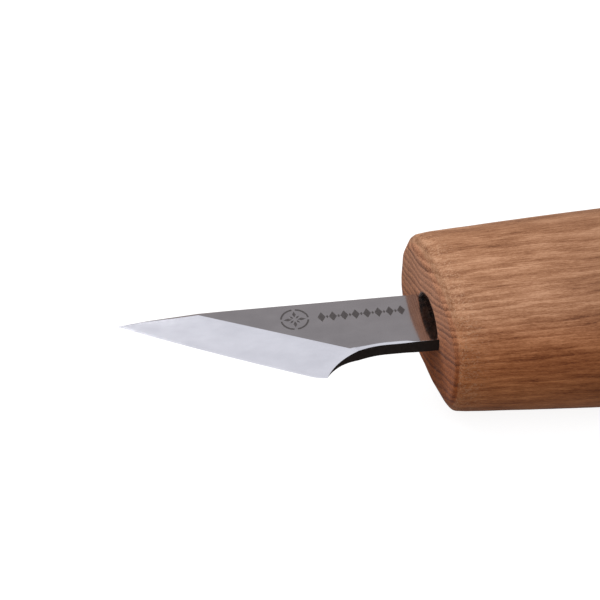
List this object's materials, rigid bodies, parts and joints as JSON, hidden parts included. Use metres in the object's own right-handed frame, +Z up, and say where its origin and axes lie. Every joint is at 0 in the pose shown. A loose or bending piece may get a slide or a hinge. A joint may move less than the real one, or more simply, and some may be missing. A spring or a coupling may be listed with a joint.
{
  "type": "whittling knife",
  "caption": "Short whittling knife: a flat skew blade with a wide ground bevel and a hollow behind its heel, set in the bored end of a plump wooden handle.",
  "frame": {"origin": "under the middle of the knife's box, on the surface that the flat side of the handle lies on", "axes": "+X from the tip to the butt, +Y towards the spine, +Z up, square to the flat of the blade"},
  "size_m": [0.1654, 0.0304, 0.0248],
  "materials": {
    "handle_wood": "sanded hardwood, thinly oiled, with a satin surface and open end grain",
    "blade_steel": "ground and polished carbon steel, bright on the bevels, satin grey on the flats",
    "tang_resin": "dark cast resin, glossy and uneven where it set"
  },
  "bodies": {
    "root": {"handle": "handle_wood", "blade": "blade_steel", "resin_bed": "tang_resin"}
  },
  "joints": []
}
